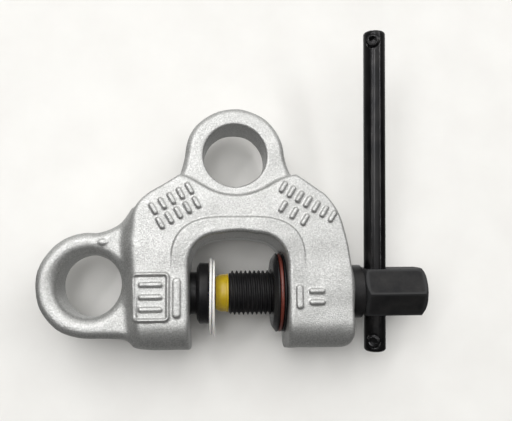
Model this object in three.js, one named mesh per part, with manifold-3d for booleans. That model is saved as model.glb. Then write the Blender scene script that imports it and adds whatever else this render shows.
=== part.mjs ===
// A screw lifting clamp: a forged C-frame with a top eye and a side eye, a sprung swivel jaw pad in
// its left arm, and an M20 screw turned by a tommy bar in its right arm.
// Millimetres. While it is being built, +X runs along the screw towards the tommy bar, +Y points to
// the top eye, +Z is up from the table that the clamp lies on, and the origin is on the screw axis
// at the face of the left arm. The finished group is moved to stand on its own lowest point.

import * as THREE from 'three';
import { mergeVertices } from 'three/addons/utils/BufferGeometryUtils.js';
import Module from 'manifold-3d';

const wasm = await Module();
wasm.setup();

// ---------- driving dimensions ----------

const GAP = 0.3;                     // running and seating clearance between pieces
const ROUND = 24;                    // facets around a turned piece

const THROAT = { width: 41.8, top: 24.4, corner: 13.5, crown: 0.8 };
const ARM = { bottom: -25.1, left: -26, right: 71.5, half: 18, edge: 2.6, toe: 12.5 };
const BEAD = { width: 8, raise: 1.2, end: 15 };
const MIDDLE = THROAT.width / 2;

const TOP_EYE = { x: 19.9, y: 61.3, outer: 22.8, bore: 13.9, half: 11, edge: 3 };
const SIDE_EYE = { x: -43.8, y: 3.9, outer: 23.2, bore: 13.6, half: 11.8, edge: 3.2 };
const BOSS = { start: 55, end: 71.5, radius: 17.2, round: 3.2 };
const LABEL = { x: -16.5, y: -1.6, width: 16, height: 20.6 };

const THREAD = { pitch: 2, major: 10, depth: 1, crest: 0.3, root: 0.6, facets: 16 };

const BUSH = {
  face: 36.3, flange: 17.7, thick: 5.2, chamfer: 1.8, slope: 2.6, groove: 1.1,
  body: 13, end: 70, counterbore: 60,
};
const SEAL = { wire: 0.8, x: 39.8 };
const LOCK_SCREW = { x: 60, radius: 3, head: -21, tip: -12 };

const PAD = { face: 8, back: 2.6, radius: 13.75, neck: 9.6, stemEnd: -14.2 };
const WAIST = { start: -10.55, end: -4.75, radius: 7 };
const PAD_BORE = { radius: 10, floor: -21 };
const PAD_PIN = { x: -8.25, y: 9.3, radius: 2, bottom: -17.5, top: 8 };
const WASHER = { start: -16, end: -14.5, radius: 9.6, hole: 3 };
const SPRING = { wire: 0.6, radius: 8.2, turns: 1.9, start: -16.95, end: -20.05 };

const DISC = { radius: 17.25, thick: 1 };
const TIP = { face: 11, end: 16.8, radius: 8.7, button: 6, shank: 4, shankEnd: 27 };
const CLIP = { x: 22, wire: 0.8, radius: 4.2, groove: 1.1 };

const SPINDLE = { start: 17.1, threadEnd: 61, neck: 9.7, hexStart: 78, hexEnd: 106.4, acrossFlats: 21 };
const COLLAR = { start: 71.8, end: 77.7, radius: 12.1, bore: 10.1, pin: 1.5 };

const BAR = { x: 84.5, radius: 5, low: -27.5, high: 119.6, tilt: 8 };
const BAR_SCREW = { radius: 3, inset: 5.2, turn: 22, reach: 6.1, socket: 3 };

// ---------- solids ----------

const rad = THREE.MathUtils.degToRad;

// A closed three.js geometry as a manifold solid.
function solid(geometry) {
  const bare = geometry.clone();
  bare.deleteAttribute('normal');
  bare.deleteAttribute('uv');
  const merged = mergeVertices(bare, 1e-5);
  return new wasm.Manifold(new wasm.Mesh({
    numProp: 3,
    vertProperties: new Float32Array(merged.attributes.position.array),
    triVerts: new Uint32Array(merged.index.array),
  }));
}

// A manifold solid as a three.js geometry.
function shell(manifold) {
  const mesh = manifold.simplify(0.01).getMesh();
  const geometry = new THREE.BufferGeometry();
  geometry.setAttribute('position', new THREE.BufferAttribute(new Float32Array(mesh.vertProperties), 3));
  geometry.setIndex(new THREE.BufferAttribute(new Uint32Array(mesh.triVerts), 1));
  geometry.computeVertexNormals();
  return geometry;
}

// A turned solid about the X axis, from a closed half profile of [x, radius] points.
function turned(profile, facets = ROUND) {
  const points = profile.map(([x, r]) => new THREE.Vector2(r, x));
  points.push(points[0].clone());
  if (THREE.ShapeUtils.area(points) < 0) points.reverse();
  return solid(new THREE.LatheGeometry(points, facets).rotateZ(-Math.PI / 2));
}

// A plain round bar about the X axis.
const bar = (x0, x1, radius, facets = ROUND) =>
  turned([[x0, 0], [x0, radius], [x1, radius], [x1, 0]], facets);

// A round bar along +Y, from y0 to y1, whose axis passes through x, z.
const uprightBar = (x, z, y0, y1, radius, facets = 16) =>
  solid(new THREE.CylinderGeometry(radius, radius, y1 - y0, facets).translate(x, (y0 + y1) / 2, z));

// A round bar along +Z, from z0 to z1, whose axis passes through x, y.
const standingBar = (x, y, z0, z1, radius, facets = 16) =>
  solid(new THREE.CylinderGeometry(radius, radius, z1 - z0, facets).rotateX(Math.PI / 2)
    .translate(x, y, (z0 + z1) / 2));

// A plate of a shape in the XY plane, centred on z = 0, with a rounded edge.
function plate(shape, half, edge, steps = 2, curveSegments = 5) {
  const geometry = new THREE.ExtrudeGeometry(shape, {
    depth: 2 * (half - edge),
    bevelEnabled: edge > 0,
    bevelThickness: edge,
    bevelSize: edge,
    bevelOffset: -edge,
    bevelSegments: steps,
    curveSegments,
  });
  return solid(geometry.translate(0, 0, -(half - edge)));
}

// A round rod with a real right-hand thread, made longer than it is needed and cut to length by its
// user. All rods are in phase. Each pitch has four rows of points: the foot and the top of the flank,
// and the same on its way down. A tap is the same rod with its thread grown on all sides.
function threadedRod(x0, x1, grow) {
  const { pitch, major, depth, crest, root, facets } = THREAD;
  const flank = (pitch - crest - root) / 2;
  const widen = grow / 2;
  const rows = [
    { at: -widen, radius: major - depth + grow },
    { at: flank - widen, radius: major + grow },
    { at: flank + crest + widen, radius: major + grow },
    { at: 2 * flank + crest + widen, radius: major - depth + grow },
  ];
  const first = (Math.floor(x0 / pitch) - 1) * pitch;
  const last = Math.ceil((x1 - first) / pitch + 1) * rows.length;
  const positions = [];
  const index = new Map();
  const vertex = (row, j) => {
    if (j === facets) return vertex(row + rows.length, 0);
    const key = row * facets + j;
    if (!index.has(key)) {
      const { at, radius } = rows[row % rows.length];
      const turns = Math.floor(row / rows.length) + j / facets;
      const angle = 2 * Math.PI * j / facets;
      index.set(key, positions.length / 3);
      positions.push(first + turns * pitch + at, radius * Math.cos(angle), radius * Math.sin(angle));
    }
    return index.get(key);
  };
  const faces = [];
  for (let row = 0; row < last; row++) {
    for (let j = 0; j < facets; j++) {
      const [a, b] = [vertex(row, j), vertex(row, j + 1)];
      const [c, d] = [vertex(row + 1, j + 1), vertex(row + 1, j)];
      faces.push(a, b, c, a, c, d);
    }
  }
  const cap = (row, flip) => {
    const rim = [];
    for (let j = 0; j <= facets; j++) rim.push(vertex(row, j));
    for (let k = rows.length - 1; k > 0; k--) rim.push(vertex(row + k, 0));
    const centre = positions.length / 3;
    positions.push(positions[3 * rim[0]], 0, 0);
    rim.forEach((v, i) => {
      const next = rim[(i + 1) % rim.length];
      faces.push(...(flip ? [centre, next, v] : [centre, v, next]));
    });
  };
  cap(0, true);
  cap(last, false);
  const geometry = new THREE.BufferGeometry();
  geometry.setAttribute('position', new THREE.Float32BufferAttribute(positions, 3));
  geometry.setIndex(faces);
  return solid(geometry);
}

// ---------- outlines ----------

// The C-shaped yoke with both shoulders, before its eyes.
function yokeOutline() {
  const { width, top, corner, crown } = THROAT;
  const toe = 3.5;
  const s = new THREE.Shape();
  s.moveTo(0, ARM.bottom);
  s.lineTo(0, top - corner);
  s.bezierCurveTo(0, top - 0.4 * corner, 0.4 * corner, top, corner, top);
  s.quadraticCurveTo(MIDDLE, top + 2 * crown, width - corner, top);
  s.bezierCurveTo(width - 0.4 * corner, top, width, top - 0.4 * corner, width, top - corner);
  s.lineTo(width, ARM.bottom);
  s.lineTo(ARM.right - 1.5 * toe, ARM.bottom);
  s.lineTo(ARM.right, ARM.bottom + 1.8 * toe);
  s.lineTo(ARM.right, 6.5);
  s.bezierCurveTo(71, 13.5, 69.6, 21.5, 68.3, 26.5);
  s.bezierCurveTo(66.9, 33.5, 64.3, 39, 59.5, 43.4);
  s.lineTo(46.9, 52.2);
  s.bezierCurveTo(36.5, 51.5, 33, 43.1, TOP_EYE.x, 43.1);
  s.bezierCurveTo(6.8, 43.1, 3.3, 51.5, -5.1, 52.2);
  s.lineTo(-17.7, 44.3);
  s.bezierCurveTo(-23.5, 40.2, -27.4, 34.5, -28, 22.5);
  s.lineTo(ARM.left, -2.5);
  s.lineTo(ARM.left + 2, ARM.bottom + 1.8 * toe);
  s.lineTo(ARM.left + 2 + toe, ARM.bottom);
  return s;
}

// The thinner plate of the top eye, with a concave flare down to each shoulder.
function topEyeOutline() {
  const { x, y, outer } = TOP_EYE;
  const flare = rad(4);
  const s = new THREE.Shape();
  s.moveTo(x + 30, y - 13.5);
  s.quadraticCurveTo(x + 24.5, y - 9, x + outer * Math.cos(flare), y + outer * Math.sin(flare));
  s.absarc(x, y, outer, flare, Math.PI - flare, false);
  s.quadraticCurveTo(x - 24.5, y - 9, x - 28, y - 13.5);
  s.lineTo(x - 26, y - 32);
  s.lineTo(x + 26, y - 32);
  return s;
}

// The plate of the side eye: its lower edge runs straight into the arm, its upper edge is concave.
function sideEyeOutline() {
  const { x, y, outer } = SIDE_EYE;
  const [start, end] = [rad(84), rad(270)];
  const s = new THREE.Shape();
  s.moveTo(-8, 30);
  s.lineTo(-17, 39);
  s.lineTo(-25.5, 37);
  s.quadraticCurveTo(-32, 28, x + outer * Math.cos(start), y + outer * Math.sin(start));
  s.absarc(x, y, outer, start, end, false);
  s.lineTo(-31, y - outer - 0.1);
  s.lineTo(ARM.left + 2, -22);
  s.lineTo(-10, -14);
  return s;
}

// The raised rim that follows the throat and ends part way down each arm.
function beadOutline() {
  const { width, top, corner, crown } = THROAT;
  const { width: w, end } = BEAD;
  const s = new THREE.Shape();
  s.moveTo(0, end - 8);
  s.lineTo(0, top - corner);
  s.bezierCurveTo(0, top - 0.4 * corner, 0.4 * corner, top, corner, top);
  s.quadraticCurveTo(MIDDLE, top + 2 * crown, width - corner, top);
  s.bezierCurveTo(width - 0.4 * corner, top, width, top - 0.4 * corner, width, top - corner);
  s.lineTo(width, end - 8);
  s.lineTo(width + 0.7 * w, end);
  s.lineTo(width + w, end + 5);
  s.bezierCurveTo(width + w, top + 2, width + 1, top + w, width - corner, top + w);
  s.lineTo(corner, top + w);
  s.bezierCurveTo(-1, top + w, -w, top + 2, -w, end + 5);
  s.lineTo(-0.7 * w, end);
  return s;
}

function roundedRectangle(x, y, width, height, corner) {
  const [x0, x1, y0, y1] = [x - width / 2, x + width / 2, y - height / 2, y + height / 2];
  const s = new THREE.Shape();
  s.moveTo(x0 + corner, y0);
  s.lineTo(x1 - corner, y0);
  s.quadraticCurveTo(x1, y0, x1, y0 + corner);
  s.lineTo(x1, y1 - corner);
  s.quadraticCurveTo(x1, y1, x1 - corner, y1);
  s.lineTo(x0 + corner, y1);
  s.quadraticCurveTo(x0, y1, x0, y1 - corner);
  s.lineTo(x0, y0 + corner);
  s.quadraticCurveTo(x0, y0, x0 + corner, y0);
  return s;
}

// ---------- pieces ----------

// Cuts an eye's bore with its rim rounded on both faces.
function eyeCutter({ x, y, bore, half }) {
  const lip = 2.2;
  const reach = half + 0.1;
  const profile = [
    [-reach, 0],
    [-reach, bore + lip],
    [-half + 0.6 * lip, bore + 0.45 * lip],
    [-half + 2 * lip, bore],
    [half - 2 * lip, bore],
    [half - 0.6 * lip, bore + 0.45 * lip],
    [reach, bore + lip],
    [reach, 0],
  ];
  return turned(profile, 28).rotate([0, 90, 0]).translate([x, y, 0]);
}

// Rounds the front and back of both arms towards their open ends.
function toeEnvelope() {
  const { bottom, half, toe } = ARM;
  const s = new THREE.Shape();
  const side = half + BEAD.raise + 1;
  s.moveTo(side, 70);
  s.lineTo(side, bottom + 2 * toe);
  s.quadraticCurveTo(half, bottom + 1.3 * toe, half, bottom + toe);
  s.quadraticCurveTo(half - 0.6, bottom, half - toe, bottom);
  s.lineTo(toe - half, bottom);
  s.quadraticCurveTo(0.6 - half, bottom, -half, bottom + toe);
  s.quadraticCurveTo(-half, bottom + 1.3 * toe, -side, bottom + 2 * toe);
  s.lineTo(-side, 70);
  const geometry = new THREE.ExtrudeGeometry(s, { depth: 120, bevelEnabled: false, curveSegments: 4 });
  return solid(geometry.rotateY(Math.PI / 2).translate(-40, 0, 0));
}

function frame() {
  const raised = ARM.half + BEAD.raise;
  let body = plate(yokeOutline(), ARM.half, ARM.edge);
  body = body.intersect(toeEnvelope());
  body = body.add(plate(topEyeOutline(), TOP_EYE.half, TOP_EYE.edge, 2, 16));
  body = body.add(plate(sideEyeOutline(), SIDE_EYE.half, SIDE_EYE.edge, 2, 16));
  body = body.add(plate(beadOutline(), raised, 1, 1));
  const { start, end, radius, round } = BOSS;
  body = body.add(turned([[start, 0], [start, radius], [end - round, radius],
    [end - 0.3 * round, radius - 0.3 * round], [end, radius - round], [end, 0]]));
  const marks = [
    [LABEL.x, LABEL.y, LABEL.width, LABEL.height],
    [-5.5, -2, 3.2, 16.6],
    [47, -2.2, 2.8, 10],
    [54.5, -2.2, 6.6, 8],
  ];
  for (const [x, y, width, height] of marks) {
    body = body.add(plate(roundedRectangle(x, y, width, height, Math.min(2, width / 3)), raised, 0));
  }
  body = body.subtract(eyeCutter(TOP_EYE));
  body = body.subtract(eyeCutter(SIDE_EYE));
  body = body.subtract(bar(PAD_BORE.floor, 5, PAD_BORE.radius));
  for (const side of [-1, 1]) {
    const hole = standingBar(PAD_PIN.x, side * PAD_PIN.y, -25, PAD_PIN.top + GAP, PAD_PIN.radius + GAP);
    body = body.subtract(hole);
  }
  body = body.subtract(bar(35, BOSS.end + 1, BUSH.body + GAP));
  body = body.subtract(bar(BUSH.face - 1, THROAT.width, BUSH.flange + 0.6));
  body = body.subtract(uprightBar(LOCK_SCREW.x, 0, -30, 0, LOCK_SCREW.radius + GAP));
  return body;
}

// The flanged bush, threaded inside, with a groove around its flange and a dimple for its lock screw.
function threadBush() {
  const { face, flange, thick, chamfer, slope, groove, body, end, counterbore } = BUSH;
  const back = face + thick;
  const [g0, g1] = [SEAL.x - groove, SEAL.x + groove];
  const depth = 2 * SEAL.wire + GAP;
  const profile = [
    [face, 0], [face, flange - slope], [face + chamfer, flange], [g0, flange], [g0, flange - depth],
    [g1, flange - depth], [g1, flange], [back, flange], [back, body], [end - 0.8, body],
    [end, body - 0.8], [end, 0],
  ];
  const tap = threadedRod(face - 2, counterbore, GAP);
  const cut = turned([[face - 1, 0], [face - 1, THREAD.major + 1.3], [face + 1.6, THREAD.major - 0.4],
    [face + 1.6, 0]]);
  return turned(profile)
    .subtract(tap.intersect(bar(face - 1, counterbore, 13)))
    .subtract(cut)
    .subtract(bar(counterbore - 0.5, end + 1, THREAD.major + 0.7))
    .subtract(uprightBar(LOCK_SCREW.x, 0, -14, LOCK_SCREW.tip + GAP, LOCK_SCREW.radius + GAP));
}

const sealRing = () => ring(SEAL.x, BUSH.flange - SEAL.wire, SEAL.wire);

// A round-section ring about the X axis.
function ring(x, radius, wire, facets = ROUND) {
  const section = [];
  for (let i = 0; i < 8; i++) {
    const a = rad(22.5 + 45 * i);
    section.push([x + wire * Math.cos(a), radius + wire * Math.sin(a)]);
  }
  return turned(section, facets);
}

// A socket set screw lying along +X, from tip to a hexagon socket in its head.
function setScrew(radius, length, acrossFlats) {
  const socket = new THREE.CylinderGeometry(acrossFlats / Math.sqrt(3), acrossFlats / Math.sqrt(3), 6, 6);
  return turned([[0, 0], [0, radius - 0.7], [0.7, radius], [length - 0.4, radius], [length, radius - 0.4],
    [length, 0]], 20).subtract(solid(socket.rotateZ(Math.PI / 2).translate(length + 0.5, 0, 0)));
}

// The swivel pad: a disc with ring grooves in its face, a neck, and a stem waisted for its pins.
function jawPad() {
  const { face, back, radius, neck, stemEnd } = PAD;
  const profile = [[stemEnd, 0], [stemEnd, neck - 0.8], [stemEnd + 0.8, neck], [WAIST.start, neck],
    [WAIST.start, WAIST.radius], [WAIST.end, WAIST.radius], [WAIST.end, neck], [back, neck],
    [back, radius - 2.3], [back + 1.3, radius], [face - 0.5, radius], [face, radius - 0.5]];
  for (const r of [10, 6]) profile.push([face, r + 0.6], [face - 0.8, r], [face, r - 0.6]);
  profile.push([face, 0]);
  return turned(profile);
}

const padPin = side =>
  standingBar(PAD_PIN.x, side * PAD_PIN.y, PAD_PIN.bottom, PAD_PIN.top, PAD_PIN.radius);

// A short open coil spring about the X axis, pressing on the thrust washer.
function padSpring() {
  const { wire, radius, turns, start, end } = SPRING;
  const points = [];
  const steps = 40;
  for (let i = 0; i <= steps; i++) {
    const a = 2 * Math.PI * turns * i / steps;
    const x = start + (end - start) * i / steps;
    points.push(new THREE.Vector3(x, radius * Math.cos(a), radius * Math.sin(a)));
  }
  const path = new THREE.CatmullRomCurve3(points);
  const section = new THREE.Shape();
  section.absarc(0, 0, wire, 0, 2 * Math.PI, false);
  return solid(new THREE.ExtrudeGeometry(section, { steps: 36, extrudePath: path, curveSegments: 3 }));
}

const thrustWasher = () => bar(WASHER.start, WASHER.end, WASHER.radius)
  .subtract(bar(WASHER.start - 1, WASHER.end + 1, WASHER.hole));

const guardDisc = x => bar(x, x + DISC.thick, DISC.radius, 32);

// The plastic collar around the tip, round at the jaw end and lipped at the screw end.
function tipCap() {
  const { face, end, radius, button } = TIP;
  return turned([
    [face, button + GAP], [face, radius - 1.2], [face + 0.4, radius - 0.5], [face + 1.3, radius - 0.2],
    [end - 1, radius - 0.2], [end - 0.8, radius], [end, radius], [end, button + GAP],
  ]);
}

function tipNose() {
  const { face, end, button, shank, shankEnd } = TIP;
  const [g0, g1] = [CLIP.x - CLIP.groove, CLIP.x + CLIP.groove];
  const root = CLIP.radius - CLIP.groove;
  return turned([[face, 0], [face, button - 0.6], [face + 0.6, button], [end, button], [end, shank],
    [g0, shank], [g0, root], [g1, root], [g1, shank], [shankEnd - 0.6, shank], [shankEnd, shank - 0.6],
    [shankEnd, 0]], 20);
}

// The screw: a real M20 thread, a plain neck under the collar, and a hexagon head bored for the bar.
function spindle() {
  const { start, threadEnd, neck, hexStart, hexEnd, acrossFlats } = SPINDLE;
  const bore = TIP.shank + GAP;
  const major = THREAD.major + 0.1;
  const envelope = turned([
    [start, 0], [start, major - 1.3], [start + 1.2, major], [threadEnd, major], [threadEnd, 0],
  ]);
  const thread = threadedRod(start, threadEnd, 0).intersect(envelope);
  const across = acrossFlats / Math.sqrt(3);
  const flat = acrossFlats / 2 - 0.1;
  const hexagon = new THREE.CylinderGeometry(across, across, hexEnd - hexStart, 6);
  hexagon.rotateZ(Math.PI / 2).translate((hexStart + hexEnd) / 2, 0, 0);
  const chamfers = turned([
    [hexStart, 0], [hexStart, flat], [hexStart + 1.1, across + 0.1],
    [hexEnd - 1.1, across + 0.1], [hexEnd, flat], [hexEnd, 0],
  ]);
  const head = solid(hexagon).intersect(chamfers);
  const nose = bar(start - 1, TIP.shankEnd + GAP, bore, 20)
    .add(bar(CLIP.x - CLIP.groove, CLIP.x + CLIP.groove, CLIP.radius + CLIP.wire + GAP, 20));
  return thread.add(bar(threadEnd - 0.5, hexStart + 0.5, neck)).add(head)
    .subtract(nose)
    .subtract(standingBar((COLLAR.start + COLLAR.end) / 2, 0, -20, -5.5, COLLAR.pin + GAP, 12))
    .subtract(uprightBar(BAR.x, 0, -20, 20, BAR.radius + GAP, 24));
}

function stopCollar() {
  const { start, end, radius, bore, pin } = COLLAR;
  return turned([[start, bore], [start, radius - 0.8], [start + 0.8, radius], [end - 0.8, radius],
    [end, radius - 0.8], [end, bore]])
    .subtract(standingBar((start + end) / 2, 0, -20, -5, pin + GAP, 12));
}

const collarPin = () => standingBar((COLLAR.start + COLLAR.end) / 2, 0, -11.6, -5.8, COLLAR.pin, 12);

// Where the two set screws cross the tommy bar.
const barScrewPlaces = [BAR.low + BAR_SCREW.inset, BAR.high - BAR_SCREW.inset];

function tommyBar() {
  const { x, radius, low, high } = BAR;
  const profile = [[low, 0], [low, radius - 0.8], [low + 0.8, radius], [high - 0.8, radius],
    [high, radius - 0.8], [high, 0]];
  let body = turned(profile, 24).rotate([0, 0, 90]).translate([x, 0, 0]);
  for (const y of barScrewPlaces) {
    const hole = standingBar(0, 0, -8, 8, BAR_SCREW.radius + GAP).rotate([0, -BAR_SCREW.turn, 0]);
    body = body.subtract(hole.translate([x, y, 0]));
  }
  return body;
}

const barSetScrew = y => setScrew(BAR_SCREW.radius, 2 * BAR_SCREW.reach, BAR_SCREW.socket)
  .translate([-BAR_SCREW.reach, 0, 0])
  .rotate([0, -90 - BAR_SCREW.turn, 0])
  .translate([BAR.x, y, 0]);

const lockScrew = () => setScrew(LOCK_SCREW.radius, LOCK_SCREW.tip - LOCK_SCREW.head, 2.5)
  .rotate([0, 0, -90])
  .translate([LOCK_SCREW.x, LOCK_SCREW.tip, 0]);

// ---------- finishes ----------

const finish = (color, roughness, metalness) =>
  () => new THREE.MeshStandardMaterial({ color, roughness, metalness });
const silverPaint = finish(0xb4b6b8, 0.45, 0.6);
const blackSteel = finish(0x1b1b1d, 0.4, 0.8);
const brightSteel = finish(0x8d8f92, 0.35, 0.9);
const yellowPlastic = finish(0xe8cf12, 0.45, 0);
const whitePlastic = finish(0xe9e8e4, 0.5, 0);
const redRubber = finish(0x8a3423, 0.6, 0);

// ---------- assembly ----------

const clamp = new THREE.Group();

function piece(name, manifold, material, tilt = 0) {
  const mesh = new THREE.Mesh(shell(manifold), material());
  mesh.name = name;
  mesh.rotation.x = rad(tilt);
  clamp.add(mesh);
}

piece('frame', frame(), silverPaint);
piece('thread_bush', threadBush(), blackSteel);
piece('bush_seal_ring', sealRing(), redRubber);
piece('bush_lock_screw', lockScrew(), blackSteel);
piece('pad_pin_upper', padPin(1), brightSteel);
piece('pad_pin_lower', padPin(-1), brightSteel);
piece('pad_spring', padSpring(), brightSteel);
piece('pad_thrust_washer', thrustWasher(), brightSteel);
piece('jaw_pad', jawPad(), blackSteel);

const discGap = (TIP.face - PAD.face - 2 * DISC.thick) / 3;
const padSideDisc = guardDisc(PAD.face + discGap).translate([0, -1.3, 0]);
const tipSideDisc = guardDisc(TIP.face - discGap - DISC.thick).translate([0, -2.2, 0]);
piece('guard_disc_pad_side', padSideDisc, whitePlastic);
piece('guard_disc_tip_side', tipSideDisc, whitePlastic);

piece('tip_cap', tipCap(), yellowPlastic);
piece('tip_nose', tipNose(), blackSteel);
piece('tip_retaining_ring', ring(CLIP.x, CLIP.radius, CLIP.wire, 20), brightSteel);

piece('spindle', spindle(), blackSteel, BAR.tilt);
piece('stop_collar', stopCollar(), blackSteel, BAR.tilt);
piece('collar_pin', collarPin(), brightSteel, BAR.tilt);
piece('tommy_bar', tommyBar(), blackSteel, BAR.tilt);
piece('bar_set_screw_lower', barSetScrew(barScrewPlaces[0]), blackSteel, BAR.tilt);
piece('bar_set_screw_upper', barSetScrew(barScrewPlaces[1]), blackSteel, BAR.tilt);

// The clamp stands on its lowest point, with the origin under the middle of its box.
const group = new THREE.Group();
group.add(clamp);
const box = new THREE.Box3().setFromObject(clamp, true);
clamp.position.set(-(box.min.x + box.max.x) / 2, -(box.min.y + box.max.y) / 2, -box.min.z);

export default group;
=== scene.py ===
# A screw lifting clamp lying on its back on a pale table: a forged, silver-painted C-frame with two
# eyes, a swivel jaw pad, and an M20 screw with a hexagon head and a tommy bar.
# Shapes are written in millimetres in the clamp's own axes: +X runs along the screw towards the
# tommy bar, +Y points to the top eye, +Z is up from the table, and the origin is on the screw axis at
# the face of the left arm. finish_piece() puts them in the frame's metres.

import math
from types import SimpleNamespace as dims

import bmesh
import bpy
import numpy as np
import openvdb
from mathutils import Matrix, Vector


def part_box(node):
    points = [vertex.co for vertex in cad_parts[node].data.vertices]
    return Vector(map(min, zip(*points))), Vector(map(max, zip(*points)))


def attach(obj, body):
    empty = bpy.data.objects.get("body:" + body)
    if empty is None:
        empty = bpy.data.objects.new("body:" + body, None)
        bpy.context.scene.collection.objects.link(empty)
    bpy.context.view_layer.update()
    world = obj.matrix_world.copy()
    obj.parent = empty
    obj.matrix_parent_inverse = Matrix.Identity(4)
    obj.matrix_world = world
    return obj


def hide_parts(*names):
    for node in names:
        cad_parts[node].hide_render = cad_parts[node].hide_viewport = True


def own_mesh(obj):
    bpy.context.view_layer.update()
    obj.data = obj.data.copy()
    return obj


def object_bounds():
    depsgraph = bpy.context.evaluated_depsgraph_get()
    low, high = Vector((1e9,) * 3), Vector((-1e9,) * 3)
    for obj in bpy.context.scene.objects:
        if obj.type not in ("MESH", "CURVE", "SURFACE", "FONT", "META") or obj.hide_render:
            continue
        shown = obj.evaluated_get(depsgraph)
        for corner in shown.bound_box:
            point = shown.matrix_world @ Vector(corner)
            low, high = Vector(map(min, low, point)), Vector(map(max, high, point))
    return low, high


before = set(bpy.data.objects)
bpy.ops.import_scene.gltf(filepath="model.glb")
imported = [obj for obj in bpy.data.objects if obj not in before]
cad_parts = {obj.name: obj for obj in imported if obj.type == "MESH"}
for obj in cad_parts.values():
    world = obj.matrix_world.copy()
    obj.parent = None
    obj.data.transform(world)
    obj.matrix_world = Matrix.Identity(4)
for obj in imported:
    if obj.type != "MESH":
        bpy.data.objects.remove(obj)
CAD_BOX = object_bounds()

# ---------- driving dimensions, mm ----------

GAP = 0.3
THROAT = dims(width=41.8, top=24.4, corner=13.5, crown=0.8)
MIDDLE = THROAT.width / 2
ARM = dims(bottom=-25.1, left=-26, right=71.5, half=18, toe=12.5)
# The yoke's edges are sharp, but they grow soft towards the left arm's outer side, below fade_y.
EDGE = dims(sharp=1.7, soft=4.4, fade_x=(-24, -14), fade_y=(26, 40))
TOP_EYE = dims(x=19.9, y=61.3, outer=22.8, bore=13.9, half=11, edge=3.2, fillet=2, rim=1.1)
SIDE_EYE = dims(x=-43.8, y=3.9, outer=23.2, bore=13.6, half=11.8, edge=3.6, fillet=4.5, rim=4.6)
BOSS = dims(start=55, end=71.5, radius=17.2, edge=3.2, fillet=2)
BEAD = dims(width=8, fade_low=3, fade_high=27, height=1.1, slope=1.1)
LABEL = dims(x=-16.5, y=-1.6, width=16, height=20.6, corner=2.2, border=1.3, rise=1.1,
             bars=3, bar=9.6, spacing=5.2)
KNOB = dims(x=-37.8, y=22.4, stretch=1.6, radius=1.2, rise=0.6, slope=1.2)
FORGING = dims(draft=0.04, flash=0.3, flash_width=0.9)

THREAD = dims(pitch=2, major=10, depth=1, crest=0.3, root=0.6)
BUSH = dims(face=36.3, flange=17.7, thick=5.2, chamfer=1.8, slope=2.6, groove=1.1,
            body=13, end=70, counterbore=60, seat=34, spot_depth=1, spot_gap=0.6)
SEAL = dims(wire=0.8, x=39.8)
LOCK_SCREW = dims(x=60, radius=3, head=-21, tip=-12, socket=2.5)
BORE_EDGE = 0.5

PAD = dims(face=8, back=2.6, radius=13.75, neck=9.6, waist=7, waist_ends=(-10.55, -4.75), stem_end=-14.2)
GRIP = dims(rings=(11.4, 9.2, 7, 4.8, 2.6), half_width=0.7, depth=0.8, grooves=6, groove=1.3, above=0.35)
PAD_BORE = dims(radius=10, floor=-21, mouth=6)
PAD_PIN = dims(x=-8.25, y=9.3, radius=2, bottom=-17.5, top=8)
WASHER = dims(start=-16, end=-14.5, radius=9.6, hole=3)
SPRING = dims(wire=0.6, radius=8.2, turns=1.9, start=-16.95, end=-20.05)

DISC = dims(radius=17.25, thick=1, edge=0.35, warp=0.12)
TIP = dims(face=11, end=16.8, radius=8.7, button=6, shank=4, shank_end=27)
CLIP = dims(x=22, wire=0.8, radius=4.2, groove=1.1, gap=40)

SPINDLE = dims(start=17.1, thread_end=61, neck=9.7, tip=8.8, runout=9.2, least=8.6,
               hex_start=78, hex_end=106.4, across_flats=21, chamfer=1.8)
COLLAR = dims(start=71.8, end=77.7, radius=12.1, bore=10.1, pin=1.5, pin_ends=(-11.6, -5.8))
BAR = dims(x=84.5, radius=5, low=-27.5, high=119.6, chamfer=0.9)
BAR_SCREW = dims(radius=3, inset=5.2, turn=22, reach=6.1, socket=3)
SET_SCREW = dims(depth=0.5, end_drop=0.75, end_slope=1.6, sink=0.45, flare=0.9, socket_depth=2.6)
TILT = 8                              # degrees that the screw and its bar are turned from flat

MM = 0.001
pad_low, pad_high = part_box("jaw_pad")
ORIGIN = Vector((pad_high.x - PAD.face * MM, (pad_low.y + pad_high.y) / 2, (pad_low.z + pad_high.z) / 2))

# ---------- camera ----------

LENS = 42.75                          # focal length, mm
SENSOR = 36                           # width of the sensor, mm
LEAN_RIGHT, LEAN_UP = 4.139, 8.097    # degrees that the camera looks away from straight down
ROLL = 0.72                           # degrees that +X is turned from level
CAMERA_AT = Vector((9.45, -1.85, 279))


def make_camera():
    """The rows east, north and up are the scene's own axes, each as the camera sees it."""
    right, high = math.tan(math.radians(LEAN_RIGHT)), math.tan(math.radians(LEAN_UP))
    up = Vector((right, high, 1)).normalized()
    east = Vector((math.cos(math.radians(ROLL)), math.sin(math.radians(ROLL)), 0))
    east = (east - east.dot(up) * up).normalized()
    north = up.cross(east)
    data = bpy.data.cameras.new("camera")
    data.sensor_width = SENSOR
    data.lens = LENS
    data.clip_start = 0.01
    camera = bpy.data.objects.new("camera", data)
    camera.matrix_world = Matrix.Translation(ORIGIN + CAMERA_AT * MM) @ Matrix((east, north, up)).to_4x4()
    bpy.context.scene.collection.objects.link(camera)
    bpy.context.scene.camera = camera


# ---------- mesh tools ----------

def mesh_object(name, vertices, faces):
    mesh = bpy.data.meshes.new(name)
    mesh.from_pydata(vertices, [], faces)
    obj = bpy.data.objects.new(name, mesh)
    bpy.context.scene.collection.objects.link(obj)
    edit = bmesh.new()
    edit.from_mesh(mesh)
    bmesh.ops.recalc_face_normals(edit, faces=edit.faces)
    edit.to_mesh(mesh)
    edit.free()
    return obj


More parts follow.
